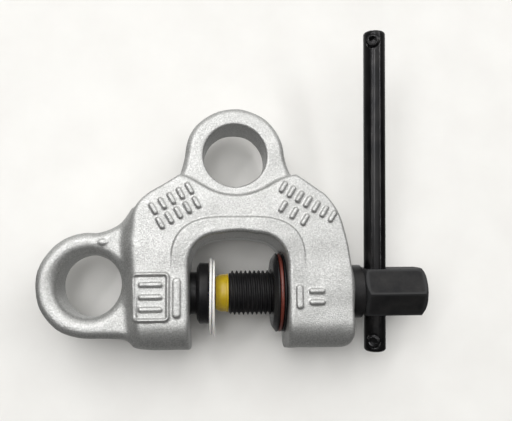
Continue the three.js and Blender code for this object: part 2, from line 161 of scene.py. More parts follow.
def apply_modifiers(obj):
    bpy.context.view_layer.update()
    evaluated = obj.evaluated_get(bpy.context.evaluated_depsgraph_get())
    mesh = bpy.data.meshes.new_from_object(evaluated)
    obj.modifiers.clear()
    obj.data = mesh
    return obj


def combine(obj, operation, *tools):
    for tool in tools:
        modifier = obj.modifiers.new("combine", "BOOLEAN")
        modifier.operation = operation
        modifier.solver = "MANIFOLD"
        modifier.object = tool
    apply_modifiers(obj)
    for tool in tools:
        bpy.data.objects.remove(tool)
    return obj


def cut(obj, *tools):
    return combine(obj, "DIFFERENCE", *tools)


def soften_edges(obj, width, angle=40, segments=3):
    bevel = obj.modifiers.new("edges", "BEVEL")
    bevel.width = width
    bevel.segments = segments
    bevel.limit_method = "ANGLE"
    bevel.angle_limit = math.radians(angle)
    return apply_modifiers(obj)


def rounded(points, radius, steps=4, closed=False):
    """A profile with its corners rounded. A point's own third number replaces the radius there."""
    result = []
    count = len(points)
    for i, point in enumerate(points):
        here = Vector(point[:2])
        size = point[2] if len(point) > 2 else radius
        is_end = not closed and i in (0, count - 1)
        if is_end or size == 0:
            result.append(tuple(here))
            continue
        before = Vector(points[i - 1][:2]) - here
        after = Vector(points[(i + 1) % count][:2]) - here
        reach = min(size, 0.48 * before.length, 0.48 * after.length)
        start = here + before.normalized() * reach
        end = here + after.normalized() * reach
        for k in range(steps + 1):
            t = k / steps
            result.append(tuple(start * (1 - t) ** 2 + here * 2 * t * (1 - t) + end * t * t))
    return result


def divided(profile, closed, step=1.5):
    """The same profile with points added along its long stretches, for even shading."""
    result = []
    following = profile[1:] + (profile[:1] if closed else [])
    for (x0, r0), (x1, r1) in zip(profile, following):
        count = max(1, math.ceil(math.hypot(x1 - x0, r1 - r0) / step))
        result += [(x0 + (x1 - x0) * k / count, r0 + (r1 - r0) * k / count) for k in range(count)]
    return result if closed else result + profile[-1:]


def revolve(name, profile, segments=96, closed=False, shape=None):
    """A solid turned about X from (x, radius) points. shape(x, radius, angle) may change a radius."""
    vertices, rings, faces = [], [], []
    points = profile if shape else divided(profile, closed)
    for x, radius in points:
        first = len(vertices)
        if radius < 1e-6:
            vertices.append((x, 0, 0))
            rings.append([first] * segments)
            continue
        for i in range(segments):
            angle = 2 * math.pi * i / segments
            r = shape(x, radius, angle) if shape else radius
            vertices.append((x, r * math.cos(angle), r * math.sin(angle)))
        rings.append(list(range(first, first + segments)))
    following = rings[1:] + (rings[:1] if closed else [])
    for a, b in zip(rings, following):
        for i in range(segments):
            j = (i + 1) % segments
            corners = list(dict.fromkeys((a[i], a[j], b[j], b[i])))
            if len(corners) > 2:
                faces.append(corners)
    return mesh_object(name, vertices, faces)


def round_bar(name, start, end, radius, segments=64):
    return revolve(name, [(start, 0), (start, radius), (end, radius), (end, 0)], segments)


def turn(obj, degrees, axis, place=(0, 0, 0)):
    obj.data.transform(Matrix.Translation(Vector(place)) @ Matrix.Rotation(math.radians(degrees), 4, axis))
    return obj


def standing(obj, x, y):
    """A piece made along +X is stood up along +Z at x, y."""
    return turn(obj, -90, "Y", (x, y, 0))


def prism(name, across_flats, start, end, sides=6):
    corner = across_flats / 2 / math.cos(math.pi / sides)
    return revolve(name, [(start, 0), (start, corner), (end, corner), (end, 0)], sides)


def tube(name, path, radius, sides=16):
    """A round wire that follows a list of points, closed at both ends."""
    vertices, faces = [], []
    side = Vector((1, 0, 0))
    for i, point in enumerate(path):
        along = (path[min(i + 1, len(path) - 1)] - path[max(i - 1, 0)]).normalized()
        side = (side - side.dot(along) * along).normalized()
        up = along.cross(side)
        for k in range(sides):
            a = 2 * math.pi * k / sides
            vertices.append(point + radius * (math.cos(a) * side + math.sin(a) * up))
    for i in range(len(path) - 1):
        for k in range(sides):
            a, b = i * sides + k, i * sides + (k + 1) % sides
            faces.append((a, b, b + sides, a + sides))
    last = (len(path) - 1) * sides
    faces.append(tuple(range(sides)))
    faces.append(tuple(range(last, last + sides)))
    return mesh_object(name, vertices, faces)


def finish_piece(obj, body, nodes, material, tilted=False, sharp=35):
    """Puts a piece in its place, gives it its material and hands it to its body."""
    if tilted:
        turn(obj, TILT, "X")
    obj.data.transform(Matrix.Translation(ORIGIN) @ Matrix.Scale(MM, 4))
    obj.data.materials.clear()
    obj.data.materials.append(material)
    obj.data.shade_smooth()
    obj.data.set_sharp_from_angle(angle=math.radians(sharp))
    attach(obj, body)
    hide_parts(*nodes)
    return obj


# ---------- the forged frame, as a distance field ----------

class Outline:
    """A closed outline in the XY plane, drawn with lines, curves and arcs."""

    def __init__(self, x, y):
        self.points = [(x, y)]

    def line(self, x, y):
        self.points.append((x, y))

    def curve(self, *controls, steps=16):
        """A quadratic or cubic curve from the last point, by its control points and its end."""
        start = np.array(self.points[-1])
        rest = [np.array(c) for c in controls]
        order = len(rest)
        for k in range(1, steps + 1):
            t = k / steps
            point = start * (1 - t) ** order
            for i, control in enumerate(rest, 1):
                point = point + control * math.comb(order, i) * t ** i * (1 - t) ** (order - i)
            self.points.append(tuple(point))

    def arc(self, x, y, radius, start, end, steps=64):
        for k in range(steps + 1):
            a = math.radians(start + (end - start) * k / steps)
            self.points.append((x + radius * math.cos(a), y + radius * math.sin(a)))

    def distance(self, x, y):
        """Signed distance to the outline, less than zero inside it."""
        nearest = np.full(np.broadcast(x, y).shape, 1e9)
        inside = np.zeros(nearest.shape, bool)
        for (ax, ay), (bx, by) in zip(self.points, self.points[1:] + self.points[:1]):
            dx, dy = bx - ax, by - ay
            if dx == 0 and dy == 0:
                continue
            t = np.clip(((x - ax) * dx + (y - ay) * dy) / (dx * dx + dy * dy), 0, 1)
            nearest = np.minimum(nearest, (x - ax - t * dx) ** 2 + (y - ay - t * dy) ** 2)
            if ay != by:
                crossing = ((y < ay) != (y < by)) & (x < ax + (y - ay) * dx / dy)
                inside ^= crossing
        return np.where(inside, -1, 1) * np.sqrt(nearest)


def yoke_outline():
    """The C-shaped yoke with both shoulders, before its eyes."""
    width, top, corner, crown = THROAT.width, THROAT.top, THROAT.corner, THROAT.crown
    o = Outline(0, ARM.bottom)
    o.line(0, top - corner)
    o.curve((0, top - 0.4 * corner), (0.4 * corner, top), (corner, top))
    o.curve((MIDDLE, top + 2 * crown), (width - corner, top))
    o.curve((width - 0.4 * corner, top), (width, top - 0.4 * corner), (width, top - corner))
    o.line(width, ARM.bottom)
    o.line(ARM.right - 5.5, ARM.bottom)
    o.curve((ARM.right - 0.6, ARM.bottom), (ARM.right, ARM.bottom + 7.5))
    o.line(ARM.right, 6.5)
    o.curve((71, 13.5), (69.6, 21.5), (68.3, 26.5))
    o.curve((66.9, 33.5), (64.3, 39), (59.5, 43.4))
    o.line(46.9, 52.2)
    o.curve((36.5, 51.5), (33, 43.1), (TOP_EYE.x, 43.1), steps=28)
    o.curve((6.8, 43.1), (3.3, 51.5), (-5.1, 52.2), steps=28)
    o.line(-17.7, 44.3)
    o.curve((-23.5, 40.2), (-27.4, 34.5), (-28, 22.5))
    o.line(ARM.left, -2.5)
    o.line(ARM.left + 2, -20.6)
    o.curve((ARM.left + 2, ARM.bottom), (ARM.left + 6, ARM.bottom))
    return o


def top_eye_outline():
    x, y, outer = TOP_EYE.x, TOP_EYE.y, TOP_EYE.outer
    flare = math.radians(4)
    o = Outline(x + 30, y - 13.5)
    o.curve((x + 24.5, y - 9), (x + outer * math.cos(flare), y + outer * math.sin(flare)))
    o.arc(x, y, outer, 4, 176)
    o.curve((x - 24.5, y - 9), (x - 28, y - 13.5))
    o.line(x - 26, y - 32)
    o.line(x + 26, y - 32)
    return o


def side_eye_outline():
    """Its lower edge runs straight into the arm, and its upper edge is concave."""
    x, y, outer = SIDE_EYE.x, SIDE_EYE.y, SIDE_EYE.outer
    start = math.radians(84)
    o = Outline(-8, 30)
    o.line(-17, 39)
    o.line(-25.5, 37)
    o.curve((-32, 28), (x + outer * math.cos(start), y + outer * math.sin(start)))
    o.arc(x, y, outer, 84, 270)
    o.line(-31, y - outer - 0.1)
    o.curve((-27, y - outer - 0.3), (ARM.left + 2, -22))
    o.line(-10, -14)
    return o


def bead_outline():
    """The raised rim that follows the throat; it fades out part way down each arm."""
    width, top, corner, w = THROAT.width, THROAT.top, THROAT.corner, BEAD.width
    o = Outline(-w, 0)
    o.line(width + w, 0)
    o.line(width + w, 14)
    o.curve((width + w, top + 1), (width + 2, top + w), (width - corner, top + w))
    o.line(corner, top + w)
    o.curve((-2, top + w), (-w, top + 1), (-w, 14))
    return o


def fade(value, low, high):
    """0 below low and 1 above high, with a smooth rise in between."""
    t = np.clip((value - low) / (high - low), 0, 1)
    return t * t * (3 - 2 * t)


# The plan grid that the outlines are read on, and the block that the forging is meshed in, mm.
GRID_STEP = 0.25
GRID_LOW = (-74, -30)
GRID_HIGH = (76, 90)
BLOCK_LOW = (-72.5, -28, -21)
BLOCK_HIGH = (73.5, 88.5, 21)


def plan_grid():
    xs = np.arange(GRID_LOW[0], GRID_HIGH[0], GRID_STEP)
    ys = np.arange(GRID_LOW[1], GRID_HIGH[1], GRID_STEP)
    return xs[:, None], ys[None, :]


def sampled(values):
    """A quick function of x, y that reads values laid out on the plan grid."""
    def read(x, y):
        u = np.clip((x - GRID_LOW[0]) / GRID_STEP, 0, values.shape[0] - 1.001)
        v = np.clip((y - GRID_LOW[1]) / GRID_STEP, 0, values.shape[1] - 1.001)
        i, j = u.astype(int), v.astype(int)
        s, t = u - i, v - j
        low = values[i, j] * (1 - s) + values[i + 1, j] * s
        high = values[i, j + 1] * (1 - s) + values[i + 1, j + 1] * s
        return low * (1 - t) + high * t
    return read


def round_and(a, b, radius):
    """Where both fields are inside, with the edge between them rounded."""
    corner = np.hypot(np.maximum(a + radius, 0), np.maximum(b + radius, 0))
    return np.minimum(np.maximum(a, b), -radius) + corner


def round_or(a, b, radius):
    """Where either field is inside, with a fillet between them."""
    return -round_and(-a, -b, radius)


def rounded_box(x, y, width, height, corner):
    qx = np.abs(x) - width / 2 + corner
    qy = np.abs(y) - height / 2 + corner
    return np.hypot(np.maximum(qx, 0), np.maximum(qy, 0)) + np.minimum(np.maximum(qx, qy), 0) - corner


def ramp(distance, slope):
    """1 well inside an outline and 0 outside it, with a smooth slope in between."""
    return fade(-distance, -slope / 2, slope / 2)


# Rows of plain raised ribs: middle x and y, the row's angle, its length, and how many ribs.
RIB_ROWS = [
    (-7.9, 40.5, 30, 19.7, 5),
    (-4.9, 34.3, 30, 19.7, 5),
    (51.4, 39, -31.5, 27, 7),
    (45.2, 34, -31.5, 13, 3),
]
RIB = dims(width=1.9, height=5.4, corner=0.8, rise=0.9, slope=0.9)
# Single raised marks: x, y, width and height.
MARKS = [(-5.5, -2, 3.2, 16.6), (47, -2.2, 2.8, 10), (54.5, 0.2, 6.6, 2), (54.5, -4.6, 6.6, 2)]


def relief():
    """How far the front and back of the yoke stand proud of its plain face, on the plan grid."""
    x, y = plan_grid()
    bead = ramp(bead_outline().distance(x, y), BEAD.slope) * fade(y, BEAD.fade_low, BEAD.fade_high)
    height = BEAD.height * bead
    for row_x, row_y, angle, length, count in RIB_ROWS:
        c, s = math.cos(math.radians(angle)), math.sin(math.radians(angle))
        along = (x - row_x) * c + (y - row_y) * s
        across = (y - row_y) * c - (x - row_x) * s
        spacing = (length - RIB.width) / (count - 1)
        for k in range(count):
            middle = (k - (count - 1) / 2) * spacing
            rib = rounded_box(along - middle, across, RIB.width, RIB.height, RIB.corner)
            height = np.maximum(height, RIB.rise * ramp(rib, RIB.slope))
    for mark_x, mark_y, width, tall in MARKS:
        mark = rounded_box(x - mark_x, y - mark_y, width, tall, min(width, tall) / 2 - 0.1)
        height = np.maximum(height, RIB.rise * ramp(mark, RIB.slope))
    pad = rounded_box(x - LABEL.x, y - LABEL.y, LABEL.width, LABEL.height, LABEL.corner)
    border = np.maximum(pad, -pad - LABEL.border)
    height = np.maximum(height, LABEL.rise * ramp(border, RIB.slope))
    for k in range(LABEL.bars):
        middle = LABEL.y + (k - (LABEL.bars - 1) / 2) * LABEL.spacing
        bar = rounded_box(x - LABEL.x, y - middle, LABEL.bar, RIB.width, RIB.corner)
        height = np.maximum(height, RIB.rise * ramp(bar, RIB.slope))
    return height


def knob(x, y):
    """The low mark that the die leaves on the side eye's face."""
    distance = np.hypot((x - KNOB.x) / KNOB.stretch, y - KNOB.y) - KNOB.radius
    return KNOB.rise * ramp(distance, KNOB.slope)


def unevenness(seed=7, waves=14, amplitude=0.035):
    """The gentle waviness of a forging, as a sum of long seeded waves."""
    random = np.random.default_rng(seed)
    directions = random.normal(size=(waves, 3))
    directions /= np.linalg.norm(directions, axis=1)[:, None]
    numbers = 2 * math.pi / random.uniform(9, 34, waves)
    phases = random.uniform(0, 2 * math.pi, waves)

    def read(x, y, z):
        total = 0
        for (dx, dy, dz), number, phase in zip(directions, numbers, phases):
            total = total + np.sin(number * (dx * x + dy * y + dz * z) + phase)
        return amplitude * total
    return read


def frame_field():
    """The whole forging with its machined bores, as a signed distance in mm."""
    x2, y2 = plan_grid()
    yoke = sampled(yoke_outline().distance(x2, y2))
    top_eye = sampled(top_eye_outline().distance(x2, y2))
    side_eye = sampled(side_eye_outline().distance(x2, y2))
    raised = sampled(relief())
    uneven = unevenness()

    def field(x, y, z):
        depth = np.abs(z)
        taper = FORGING.draft * depth - FORGING.flash * np.exp(-(z / FORGING.flash_width) ** 2)
        face = round_and(depth - ARM.half - raised(x, y), ARM.bottom - y, ARM.toe)
        softness = (1 - fade(x, *EDGE.fade_x)) * (1 - fade(y, *EDGE.fade_y))
        edge = EDGE.sharp + (EDGE.soft - EDGE.sharp) * softness
        body = round_and(yoke(x, y) + taper, face, edge)
        across = np.hypot(y, z)
        boss = round_and(across - BOSS.radius, np.maximum(x - BOSS.end, BOSS.start - x), BOSS.edge)
        body = round_or(body, boss, BOSS.fillet)
        for eye, outline in ((TOP_EYE, top_eye), (SIDE_EYE, side_eye)):
            ring = round_and(outline(x, y) + taper, depth - eye.half - knob(x, y), eye.edge)
            body = round_or(body, ring, eye.fillet)
        for eye in (TOP_EYE, SIDE_EYE):
            bore = eye.bore - np.hypot(x - eye.x, y - eye.y) + FORGING.draft * depth
            body = round_and(body, bore, eye.rim)
        body = body + uneven(x, y, z)
        pad_bore = np.maximum(across - PAD_BORE.radius, np.maximum(PAD_BORE.floor - x, x - PAD_BORE.mouth))
        body = round_and(body, -pad_bore, BORE_EDGE)
        for side in (-1, 1):
            hole = np.hypot(x - PAD_PIN.x, y - side * PAD_PIN.y) - PAD_PIN.radius - GAP
            body = np.maximum(body, -np.maximum(hole, z - PAD_PIN.top - GAP))
        bush_bore = np.maximum(across - BUSH.body - GAP, BUSH.seat - x)
        body = round_and(body, -bush_bore, BORE_EDGE)
        spot = np.maximum(BUSH.face - BUSH.spot_depth - x, x - THROAT.width)
        body = np.maximum(body, -np.maximum(across - BUSH.flange - BUSH.spot_gap, spot))
        hole = np.maximum(np.hypot(x - LOCK_SCREW.x, z) - LOCK_SCREW.radius - GAP, y)
        return round_and(body, -hole, 0.8 * BORE_EDGE)
    return field


VOXEL = 0.52


def forged_frame():
    """The forging's mesh: quads round the field's surface, then moved onto it."""
    axes = [np.arange(low, high, VOXEL) for low, high in zip(BLOCK_LOW, BLOCK_HIGH)]
    field = frame_field()
    values = field(axes[0][:, None, None], axes[1][None, :, None], axes[2][None, None, :])
    band = 3 * VOXEL
    grid = openvdb.FloatGrid(band)
    grid.copyFromArray(np.clip(values, -band, band).astype(np.float32))
    points, quads = grid.convertToQuads(0.0)
    points = points.astype(float) * VOXEL + np.array(BLOCK_LOW)
    for _ in range(3):
        points = onto_surface(field, points)
    mesh = bpy.data.meshes.new("frame_detail")
    mesh.from_pydata(points, [], quads.tolist())
    obj = bpy.data.objects.new("frame_detail", mesh)
    bpy.context.scene.collection.objects.link(obj)
    return obj


def onto_surface(field, points, step=0.08, least_slope=0.2):
    """Moves points along the field's slope onto its surface, by less than half a voxel."""
    here = field(*points.T)
    slope = np.stack([
        (field(*(points + offset).T) - field(*(points - offset).T)) / (2 * step)
        for offset in np.eye(3) * step
    ], axis=1)
    steep = np.maximum((slope ** 2).sum(1), least_slope)
    shift = slope * (here / steep)[:, None]
    length = np.linalg.norm(shift, axis=1)[:, None]
    return points - shift * np.minimum(1, 0.4 * VOXEL / np.maximum(length, 1e-9))


# ---------- the screw and what is on it ----------

def thread(x, angle, major, depth, pitch, grow=0):
    """Radius of a right-hand thread at a place along it and an angle around it."""
    crest, root = THREAD.crest * pitch / THREAD.pitch, THREAD.root * pitch / THREAD.pitch
    flank = (pitch - crest - root) / 2
    phase = (x / pitch - angle / (2 * math.pi)) % 1 * pitch
    from_crest = abs(phase - flank - crest / 2)
    from_crest = min(from_crest, pitch - from_crest)
    t = min(max((from_crest - crest / 2 - grow / 2) / flank, 0), 1)
    return major + grow - depth * (0.6 * t + 0.4 * t * t * (3 - 2 * t))


def steps_between(start, end, step):
    count = max(1, round((end - start) / step))
    return [start + (end - start) * i / count for i in range(count + 1)]


def threaded_tap(start, end):
    """A threaded rod that is a clearance larger all over, for cutting a threaded hole."""
    profile = [(start, 0)] + [(x, 1) for x in steps_between(start, end, 0.14)] + [(end, 0)]
    return revolve("tap", profile, 72,
                   shape=lambda x, r, a: thread(x, a, THREAD.major, THREAD.depth, THREAD.pitch, GAP))


def spindle_rod():
    """The screw's threaded length and its plain neck."""
    start, thread_end, neck = SPINDLE.start, SPINDLE.thread_end, SPINDLE.neck
    xs = steps_between(start, thread_end, 0.125)
    xs += steps_between(thread_end + 0.4, SPINDLE.hex_start + 0.8, 1.5)

    def shape(x, r, angle):
        if x > thread_end:
            return neck
        cut_back = min(SPINDLE.tip + (x - start), SPINDLE.runout + (thread_end - x) * 0.7)
        helix = thread(x, angle, THREAD.major, THREAD.depth + 0.2, THREAD.pitch)
        return min(helix, max(cut_back, SPINDLE.least))
    profile = [(xs[0], 0)] + [(x, 1) for x in xs] + [(xs[-1], 0)]
    return revolve("spindle_detail", profile, 96, shape=shape)


def hexagon_head():
    """The hexagon with turned chamfers at both ends and the cross bore for the bar."""
    start, end, flats = SPINDLE.hex_start, SPINDLE.hex_end, SPINDLE.across_flats
    corner = flats / math.sqrt(3)

    def shape(x, r, angle):
        """The bar goes through the middle of a flat, so a flat's middle is at angle 0."""
        return flats / 2 / math.cos((angle + math.pi / 6) % (math.pi / 3) - math.pi / 6)
    profile = [(start, 0)] + [(x, corner) for x in steps_between(start, end, 2)] + [(end, 0)]
    head = revolve("head", profile, 96, shape=shape)
    chamfer, rim, outside = SPINDLE.chamfer, flats / 2 - 0.4, corner + 0.1
    envelope = revolve("envelope", [(start, 0), (start, rim), (start + chamfer, outside),
                                    (end - chamfer, outside), (end, rim), (end, 0)], 128)
    combine(head, "INTERSECT", envelope)
    bore = turn(round_bar("bore", -20, 20, BAR.radius + GAP), 90, "Z", (BAR.x, 0, 0))
    cut(head, bore)
    return soften_edges(head, 0.2, 25)


def spindle():
    rod = spindle_rod()
    combine(rod, "UNION", hexagon_head())
    nose_bore = round_bar("nose_bore", SPINDLE.start - 1, TIP.shank_end + GAP, TIP.shank + GAP)
    ring_bore = round_bar("ring_bore", CLIP.x - CLIP.groove, CLIP.x + CLIP.groove,
                          CLIP.radius + CLIP.wire + GAP)
    pin_hole = standing(round_bar("pin_hole", -20, -5.5, COLLAR.pin + GAP, 32), collar_middle(), 0)
    return cut(rod, nose_bore, ring_bore, pin_hole)


def collar_middle():
    return (COLLAR.start + COLLAR.end) / 2


def stop_collar():
    start, end, radius, bore = COLLAR.start, COLLAR.end, COLLAR.radius, COLLAR.bore
    profile = [(start, bore, 0.3), (start, radius, 1.1), (end, radius, 1.1), (end, bore, 0.3)]
    collar = revolve("stop_collar_detail", rounded(profile, 0.4, 5, closed=True), 96, closed=True)
    return cut(collar, standing(round_bar("pin_hole", -20, -5, COLLAR.pin + GAP, 32), collar_middle(), 0))


def plain_pin(name, start, end, radius, chamfer=0.35):
    profile = [(start, 0), (start, radius - chamfer), (start + chamfer, radius), (end - chamfer, radius),
               (end, radius - chamfer), (end, 0)]
    return revolve(name, rounded(profile, 0.12, 3), 48)


BAR_SCREW_PLACES = [BAR.low + BAR_SCREW.inset, BAR.high - BAR_SCREW.inset]


def tommy_bar():
    low, high, radius, chamfer = BAR.low, BAR.high, BAR.radius, BAR.chamfer
    profile = [(low, 0), (low, radius - chamfer, 0.8), (low + chamfer, radius, 0.6)]
    profile += [(y, radius, 0) for y in steps_between(low + 5, high - 5, 10)]
    profile += [(high - chamfer, radius, 0.6), (high, radius - chamfer, 0.8), (high, 0)]
    bar = turn(revolve("tommy_bar_detail", rounded(profile, 0.5, 4), 96), 90, "Z")
    holes = []
    for y in BAR_SCREW_PLACES:
        hole = turn(round_bar("hole", -8, 8, BAR_SCREW.radius + 0.2), -90 - BAR_SCREW.turn, "Y")
        hole.data.transform(Matrix.Translation((0, y, 0)))
        holes.append(hole)
    cut(bar, *holes)
    soften_edges(bar, 0.18, 45, 2)
    bar.data.transform(Matrix.Translation((BAR.x, 0, 0)))
    return bar


def set_screw(name, radius, length, socket, pitch=1.0):
    """A socket set screw along +X, with its socket at the far end."""
    xs = steps_between(0, length, 0.1)

    def shape(x, r, angle):
        ends = radius - SET_SCREW.end_drop + min(x, (length - x) * SET_SCREW.end_slope)
        return min(thread(x, angle, radius, SET_SCREW.depth, pitch), ends)
    profile = [(0, 0)] + [(x, 1) for x in xs] + [(length, 0)]
    screw = revolve(name, profile, 48, shape=shape)
    sink, above = length - SET_SCREW.sink, length + 0.3
    countersink = revolve("countersink", [(sink, 0), (sink, socket / 2),
                                          (above, socket / 2 + SET_SCREW.flare), (above, 0)], 32)
    cut(screw, prism("socket", socket, length - SET_SCREW.socket_depth, length + 1))
    return cut(screw, countersink)


def bar_set_screw(name, y):
    screw = set_screw(name, BAR_SCREW.radius, 2 * BAR_SCREW.reach, BAR_SCREW.socket)
    screw.data.transform(Matrix.Translation((-BAR_SCREW.reach, 0, 0)))
    return turn(screw, -90 - BAR_SCREW.turn, "Y", (BAR.x, y, 0))


def tip_cap():
    face, end, radius, button = TIP.face, TIP.end, TIP.radius, TIP.button
    profile = [(face, button + GAP, 0.3), (face, radius - 1.5, 1.2), (face + 2.2, radius - 0.25, 1.2),
               (end - 1.15, radius - 0.25, 0.15), (end - 0.9, radius, 0.3), (end, radius, 0.3),
               (end, button + GAP, 0.3)]
    return revolve("tip_cap_detail", rounded(profile, 0.3, 4, closed=True), 96, closed=True)


def tip_nose():
    face, end, button, shank = TIP.face, TIP.end, TIP.button, TIP.shank
    low, high, root = CLIP.x - CLIP.groove, CLIP.x + CLIP.groove, CLIP.radius - CLIP.groove
    profile = [(face, 0), (face, button, 0.7), (end, button, 0.2), (end, shank, 0.2), (low, shank, 0.2),
               (low, root, 0.2), (high, root, 0.2), (high, shank, 0.2), (TIP.shank_end, shank, 0.7),
               (TIP.shank_end, 0)]
    return revolve("tip_nose_detail", rounded(profile, 0.3, 4), 80)


def retaining_ring():
    """A round wire ring with a gap, so that it can be sprung into its groove."""
    angles = [math.radians(CLIP.gap / 2 + (360 - CLIP.gap) * i / 60) for i in range(61)]
    path = [Vector((CLIP.x, CLIP.radius * math.cos(a), CLIP.radius * math.sin(a))) for a in angles]
    return tube("tip_retaining_ring_detail", path, CLIP.wire - 0.05)


# ---------- the bush in the right arm ----------

def thread_bush():
    face, flange, body, end = BUSH.face, BUSH.flange, BUSH.body, BUSH.end
    rim = face + BUSH.chamfer
    back = face + BUSH.thick
    low, high = SEAL.x - BUSH.groove, SEAL.x + BUSH.groove
    floor = flange - 2 * SEAL.wire - GAP
    profile = [(face, 0), (face, flange - BUSH.slope, 0.6), (rim, flange, 0.3),
               (low, flange, 0.1), (low, floor, 0.3), (high, floor, 0.3),
               (high, flange, 0.25), (back, flange, 0.4), (back, body, 0.3), (end, body, 0.9), (end, 0)]
    bush = revolve("thread_bush_detail", rounded(profile, 0.3, 4), 128)
    mouth, throat = face - 1, face + 1.6
    lead_in = revolve("lead_in", [(mouth, 0), (mouth, THREAD.major + 1.5),
                                  (throat, THREAD.major - 0.6), (throat, 0)], 96)
    counterbore = round_bar("counterbore", BUSH.counterbore - 0.5, end + 1, THREAD.major + 0.7, 96)
    dimple = turn(round_bar("dimple", -14, LOCK_SCREW.tip + GAP, LOCK_SCREW.radius + GAP, 32), 90, "Z",
                  (LOCK_SCREW.x, 0, 0))
    cut(bush, threaded_tap(face - 2, BUSH.counterbore))
    return cut(bush, lead_in, counterbore, dimple)


def seal_ring():
    section = [(SEAL.x + SEAL.wire * math.cos(a), BUSH.flange - SEAL.wire + SEAL.wire * math.sin(a))
               for a in (2 * math.pi * i / 20 for i in range(20))]
    return revolve("bush_seal_ring_detail", section, 128, closed=True)


def lock_screw():
    length = LOCK_SCREW.tip - LOCK_SCREW.head
    screw = set_screw("bush_lock_screw_detail", LOCK_SCREW.radius, length, LOCK_SCREW.socket)
    return turn(screw, -90, "Z", (LOCK_SCREW.x, LOCK_SCREW.tip, 0))


# ---------- the jaw pad in the left arm ----------

def jaw_pad():
    """The swivel pad: rings and cross grooves in its face give it grip."""
    face, back, radius, neck = PAD.face, PAD.back, PAD.radius, PAD.neck
    low, high = PAD.waist_ends
    profile = [(PAD.stem_end, 0), (PAD.stem_end, neck, 0.9), (low, neck, 0.3), (low, PAD.waist, 0.5),
               (high, PAD.waist, 0.5), (high, neck, 0.3), (back, neck, 0.4), (back, radius - 2.3, 0.3),
               (back + 1.3, radius, 0.4), (face, radius, 0.6)]
    for ring in GRIP.rings:
        outer, inner = ring + GRIP.half_width, ring - GRIP.half_width
        profile += [(face, outer, 0.1), (face - GRIP.depth, ring, 0.1), (face, inner, 0.1)]
    profile.append((face, 0))
    pad = revolve("jaw_pad_detail", rounded(profile, 0.2, 3), 128)
    grooves = []
    for k in range(GRIP.grooves):
        groove = prism("groove", GRIP.groove, -15, 15, 4)
        turn(groove, 90, "Z")
        turn(groove, 180 * k / GRIP.grooves, "X", (face + GRIP.above, 0, 0))
        grooves.append(groove)
    return cut(pad, *grooves)


def pad_pin(name, side):
    pin = plain_pin(name, PAD_PIN.bottom, PAD_PIN.top, PAD_PIN.radius)
    return standing(pin, PAD_PIN.x, side * PAD_PIN.y)


def pad_spring():
    count = 72
    path = []
    for i in range(count + 1):
        t = i / count
        a = 2 * math.pi * SPRING.turns * t
        x = SPRING.start + (SPRING.end - SPRING.start) * t
        path.append(Vector((x, SPRING.radius * math.cos(a), SPRING.radius * math.sin(a))))
    return tube("pad_spring_detail", path, SPRING.wire)


def thrust_washer():
    start, end, radius, hole = WASHER.start, WASHER.end, WASHER.radius, WASHER.hole
    profile = [(start, hole), (start, radius), (end, radius), (end, hole)]
    return revolve("pad_thrust_washer_detail", rounded(profile, 0.25, 3, closed=True), 96, closed=True)


def guard_disc(name, start, y, phase):
    """A thin moulded disc, cupped and wavy by about a tenth of a millimetre as such discs are."""
    end = start + DISC.thick
    profile = [(start, 0)] + [(start, r) for r in range(2, 16, 2)] + [(start, DISC.radius, DISC.edge)]
    profile += [(end, DISC.radius, DISC.edge)] + [(end, r) for r in range(14, 0, -2)] + [(end, 0)]
    disc = revolve(name, rounded(profile, 0.01, 4), 128)
    for vertex in disc.data.vertices:
        x, across, up = vertex.co
        far = math.hypot(across, up) / DISC.radius
        wave = math.sin(2 * math.atan2(up, across) + phase)
        vertex.co.x = x + DISC.warp * far ** 2 * wave
    disc.data.transform(Matrix.Translation((0, y, 0)))
    return disc


# ---------- materials ----------

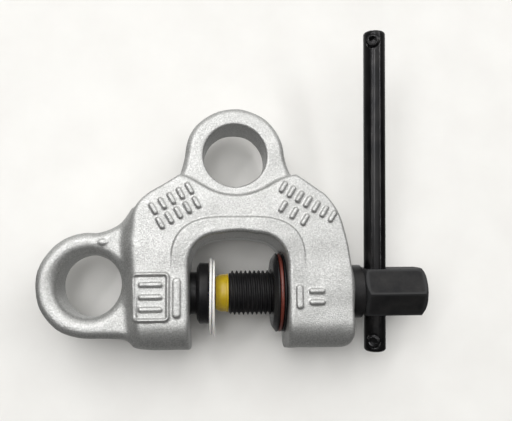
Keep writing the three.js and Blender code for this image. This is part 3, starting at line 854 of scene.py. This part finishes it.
class Look:
    """A material's node tree with its shader, and the few nodes that the finishes share."""

    def __init__(self, name, color, metallic, roughness):
        self.material = bpy.data.materials.new(name)
        self.material.use_nodes = True
        self.nodes = self.material.node_tree.nodes
        self.links = self.material.node_tree.links
        self.shader = self.nodes["Principled BSDF"]
        self.set("Base Color", (*color, 1))
        self.set("Metallic", metallic)
        self.set("Roughness", roughness)
        self.place = self.nodes.new("ShaderNodeTexCoord").outputs["Object"]

    def set(self, socket, value):
        self.shader.inputs[socket].default_value = value

    def stretched(self, x, y, z):
        mapping = self.nodes.new("ShaderNodeMapping")
        mapping.inputs["Scale"].default_value = (x, y, z)
        self.links.new(self.place, mapping.inputs["Vector"])
        return mapping.outputs["Vector"]

    def noise(self, grain, detail=3, roughness=0.55, place=None):
        """Noise whose features are about grain millimetres across."""
        node = self.nodes.new("ShaderNodeTexNoise")
        node.inputs["Scale"].default_value = 1 / (grain * MM)
        node.inputs["Detail"].default_value = detail
        node.inputs["Roughness"].default_value = roughness
        self.links.new(place or self.place, node.inputs["Vector"])
        return node.outputs["Fac"]

    def cells(self, grain):
        node = self.nodes.new("ShaderNodeTexVoronoi")
        node.inputs["Scale"].default_value = 1 / (grain * MM)
        self.links.new(self.place, node.inputs["Vector"])
        return node.outputs["Color"]

    def ramped(self, value, low, high, color_low, color_high):
        """A colour, or a grey level, that goes from one to the other as value goes from low to high."""
        node = self.nodes.new("ShaderNodeValToRGB")
        node.color_ramp.elements[0].position = low
        node.color_ramp.elements[1].position = high
        for element, color in zip(node.color_ramp.elements, (color_low, color_high)):
            element.color = (*color, 1) if isinstance(color, tuple) else (color, color, color, 1)
        self.links.new(value, node.inputs["Fac"])
        return node.outputs["Color"]

    def mixed(self, factor, a, b, blend="MIX"):
        node = self.nodes.new("ShaderNodeMix")
        node.data_type = "RGBA"
        node.blend_type = blend
        for name, value in (("Factor", factor), ("A", a), ("B", b)):
            socket = node.inputs[name]
            if isinstance(value, bpy.types.NodeSocket):
                self.links.new(value, socket)
            elif isinstance(value, tuple):
                socket.default_value = (*value, 1)
            else:
                socket.default_value = value
        return node.outputs["Result"]

    def worn_edges(self, low=0.56, high=0.68):
        """1 on outside edges and 0 elsewhere, from the mesh's own curvature."""
        curvature = self.nodes.new("ShaderNodeNewGeometry").outputs["Pointiness"]
        return self.ramped(curvature, low, high, 0.0, 1.0)

    def bump(self, height, depth, strength=1, under=None):
        """Adds bumps of about depth millimetres."""
        node = self.nodes.new("ShaderNodeBump")
        node.inputs["Distance"].default_value = depth * MM
        node.inputs["Strength"].default_value = strength
        self.links.new(height, node.inputs["Height"])
        if under:
            self.links.new(under, node.inputs["Normal"])
        self.links.new(node.outputs["Normal"], self.shader.inputs["Normal"])
        return node.outputs["Normal"]

    def link(self, output, socket):
        self.links.new(output, self.shader.inputs[socket])


def silver_paint():
    """Aluminium paint over a blasted forging: pale, satin, with a fine bright and dark speckle."""
    look = Look("silver_paint", (0.7, 0.7, 0.7), 0.74, 0.48)
    fine = look.noise(0.7, 2, 0.6)
    broad = look.noise(9, 3)
    flakes = look.ramped(look.cells(0.45), 0.0, 1.0, 0.6, 1.0)
    base = look.ramped(fine, 0.32, 0.7, (0.35, 0.35, 0.343), (0.61, 0.61, 0.6))
    tinted = look.mixed(0.3, base, look.ramped(broad, 0.3, 0.7, (0.43, 0.43, 0.42), (0.58, 0.58, 0.57)))
    look.link(look.mixed(0.55, tinted, flakes, "MULTIPLY"), "Base Color")
    look.link(look.ramped(fine, 0.25, 0.75, 0.48, 0.34), "Roughness")
    coarse = look.bump(look.noise(1.8, 3, 0.6), 0.1, 0.7)
    look.bump(look.noise(0.62, 2, 0.6), 0.15, 1, coarse)
    return look.material


def black_oxide(name, roughness, metallic, gloss, streaks=None):
    """Blackened steel: near black, a little bare at its edges, with fine machining marks."""
    look = Look(name, (0.02, 0.02, 0.022), metallic, roughness)
    look.set("Specular IOR Level", gloss)
    place = look.stretched(*streaks) if streaks else None
    marks = look.noise(0.6, 4, 0.6, place)
    patches = look.noise(7, 3)
    dark = look.ramped(patches, 0.35, 0.7, (0.01, 0.01, 0.011), (0.022, 0.021, 0.021))
    look.link(look.mixed(look.worn_edges(), dark, (0.03, 0.03, 0.031)), "Base Color")
    look.link(look.ramped(marks, 0.3, 0.7, roughness - 0.08, roughness + 0.1), "Roughness")
    look.bump(marks, 0.012, 0.5)
    return look.material


def bright_steel():
    look = Look("bright_steel", (0.5, 0.5, 0.51), 1, 0.3)
    marks = look.noise(0.5, 4, 0.6)
    look.link(look.ramped(marks, 0.3, 0.7, (0.42, 0.42, 0.43), (0.58, 0.58, 0.59)), "Base Color")
    look.link(look.ramped(marks, 0.3, 0.7, 0.24, 0.42), "Roughness")
    look.bump(marks, 0.01, 0.4)
    return look.material


def moulded_plastic(name, low, high, roughness, softness):
    """Moulded plastic: faintly mottled, a fine matt grain, and a little light passes into it."""
    look = Look(name, high, 0, roughness)
    look.set("Subsurface Weight", softness)
    look.set("Subsurface Radius", (0.8, 0.6, 0.3))
    look.set("Subsurface Scale", 1.2 * MM)
    patches = look.noise(3.5, 3)
    look.link(look.ramped(patches, 0.3, 0.7, low, high), "Base Color")
    look.link(look.ramped(look.noise(1.2, 3), 0.3, 0.7, roughness - 0.06, roughness + 0.08), "Roughness")
    look.bump(look.noise(0.35, 3), 0.01, 0.5)
    return look.material


def red_rubber():
    look = Look("red_rubber", (0.2, 0.05, 0.03), 0, 0.34)
    patches = look.noise(2, 3)
    look.link(look.ramped(patches, 0.3, 0.7, (0.085, 0.02, 0.014), (0.14, 0.032, 0.022)), "Base Color")
    look.bump(look.noise(0.4, 2), 0.01, 0.5)
    return look.material


def table_top():
    look = Look("table_top", (0.8, 0.79, 0.77), 0, 0.5)
    patches = look.noise(30, 4)
    look.link(look.ramped(patches, 0.3, 0.7, (0.72, 0.707, 0.685), (0.76, 0.75, 0.728)), "Base Color")
    look.bump(look.noise(1.2, 3), 0.02, 0.3)
    return look.material


# ---------- studio ----------

def area_light(name, place, size, power, target=(20, 10, 0)):
    """A soft rectangular lamp. Its place, size and target are in millimetres and its power in watts."""
    data = bpy.data.lights.new(name, "AREA")
    data.shape = "RECTANGLE"
    data.size, data.size_y = size[0] * MM, size[1] * MM
    data.energy = power
    light = bpy.data.objects.new(name, data)
    at = ORIGIN + Vector(place) * MM
    toward = ORIGIN + Vector(target) * MM
    light.location = at
    light.rotation_euler = (toward - at).to_track_quat("-Z", "Y").to_euler()
    bpy.context.scene.collection.objects.link(light)


def make_studio():
    floor = mesh_object("table", [(-2, -2, 0), (2, -2, 0), (2, 2, 0), (-2, 2, 0)], [(0, 1, 2, 3)])
    floor.data.transform(Matrix.Translation((0, 0, CAD_BOX[0][2])))
    floor.data.materials.append(table_top())
    floor.visible_glossy = False
    area_light("ceiling", (110, 600, 1760), (2400, 2400), 11.5)
    area_light("overhead", (-330, 160, 1760), (900, 300), 4.4)
    area_light("left", (-900, 650, 1760), (2400, 110), 10.5)
    area_light("right", (1700, 650, 1760), (2400, 90), 13)
    bpy.context.scene.world = room()
    bpy.context.scene.view_settings.view_transform = "Standard"


def room():
    """Surroundings that are bright overhead and towards +Y, dim at the horizon, and faint below."""
    world = bpy.data.worlds.new("room")
    world.use_nodes = True
    nodes, links = world.node_tree.nodes, world.node_tree.links
    direction = nodes.new("ShaderNodeTexCoord").outputs["Generated"]

    def glow(toward, low, high, dim, bright):
        facing = nodes.new("ShaderNodeVectorMath")
        facing.operation = "DOT_PRODUCT"
        facing.inputs[1].default_value = toward
        ramp = nodes.new("ShaderNodeValToRGB")
        for element, position, grey in zip(ramp.color_ramp.elements, (low, high), (dim, bright)):
            element.position = position
            element.color = (grey, grey, 0.98 * grey, 1)
        links.new(direction, facing.inputs[0])
        links.new(facing.outputs["Value"], ramp.inputs["Fac"])
        return ramp.outputs["Color"]

    light = glow((0, 0.45, 0.89), 0.5, 0.86, 0.08, 1)
    for more in (glow((0, 1, 0), 0.1, 0.5, 0, 0.9), glow((0, -0.3, -0.95), 0.3, 0.8, 0, 0.3)):
        total = nodes.new("ShaderNodeMix")
        total.data_type = "RGBA"
        total.blend_type = "ADD"
        total.inputs["Factor"].default_value = 1
        links.new(light, total.inputs["A"])
        links.new(more, total.inputs["B"])
        light = total.outputs["Result"]
    links.new(light, nodes["Background"].inputs["Color"])
    nodes["Background"].inputs["Strength"].default_value = 0.76
    return world


# ---------- assembly ----------

def make_clamp():
    paint = silver_paint()
    forged_black = black_oxide("black_oxide", 0.56, 0.3, 0.22)
    turned_black = black_oxide("black_oxide_turned", 0.3, 0.22, 0.16, (6, 1, 1))
    bar_black = black_oxide("black_oxide_bar", 0.17, 0.75, 0.5, (1, 0.12, 1))
    bright = bright_steel()
    yellow = moulded_plastic("yellow_plastic", (0.41, 0.27, 0.008), (0.49, 0.355, 0.011), 0.34, 0.15)
    white = moulded_plastic("white_plastic", (0.72, 0.71, 0.69), (0.8, 0.79, 0.77), 0.42, 0.2)
    red = red_rubber()

    finish_piece(forged_frame(), "frame_body", ["frame"], paint, sharp=60)
    finish_piece(thread_bush(), "frame_body", ["thread_bush"], turned_black)
    finish_piece(seal_ring(), "frame_body", ["bush_seal_ring"], red)
    finish_piece(lock_screw(), "frame_body", ["bush_lock_screw"], forged_black)
    for name, side in (("pad_pin_upper", 1), ("pad_pin_lower", -1)):
        finish_piece(pad_pin(name + "_detail", side), "frame_body", [name], bright)
    spring = finish_piece(pad_spring(), "frame_body", ["pad_spring"], bright)
    finish_piece(thrust_washer(), "pad_thrust", ["pad_thrust_washer"], bright)
    finish_piece(jaw_pad(), "pad", ["jaw_pad"], turned_black)

    between = (TIP.face - PAD.face - 2 * DISC.thick) / 3
    near = guard_disc("guard_disc_pad_side_detail", PAD.face + between, y=-1.3, phase=0.4)
    far = guard_disc("guard_disc_tip_side_detail", TIP.face - between - DISC.thick, y=-2.2, phase=0.9)
    finish_piece(near, "disc_a", ["guard_disc_pad_side"], white)
    finish_piece(far, "disc_b", ["guard_disc_tip_side"], white)

    finish_piece(tip_cap(), "nose", ["tip_cap"], yellow)
    finish_piece(tip_nose(), "nose", ["tip_nose"], turned_black)
    finish_piece(retaining_ring(), "screw", ["tip_retaining_ring"], bright)
    finish_piece(spindle(), "screw", ["spindle"], forged_black, tilted=True, sharp=30)
    finish_piece(stop_collar(), "screw", ["stop_collar"], turned_black, tilted=True)
    pin = standing(plain_pin("collar_pin_detail", *COLLAR.pin_ends, COLLAR.pin), collar_middle(), 0)
    finish_piece(pin, "screw", ["collar_pin"], bright, tilted=True)
    finish_piece(tommy_bar(), "bar", ["tommy_bar"], bar_black, tilted=True)
    for name, y in zip(("bar_set_screw_lower", "bar_set_screw_upper"), BAR_SCREW_PLACES):
        screw = bar_set_screw(name + "_detail", y)
        finish_piece(screw, "bar", [name], bar_black, tilted=True)
    return spring


make_camera()
make_studio()
spring = make_clamp()
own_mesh(spring)
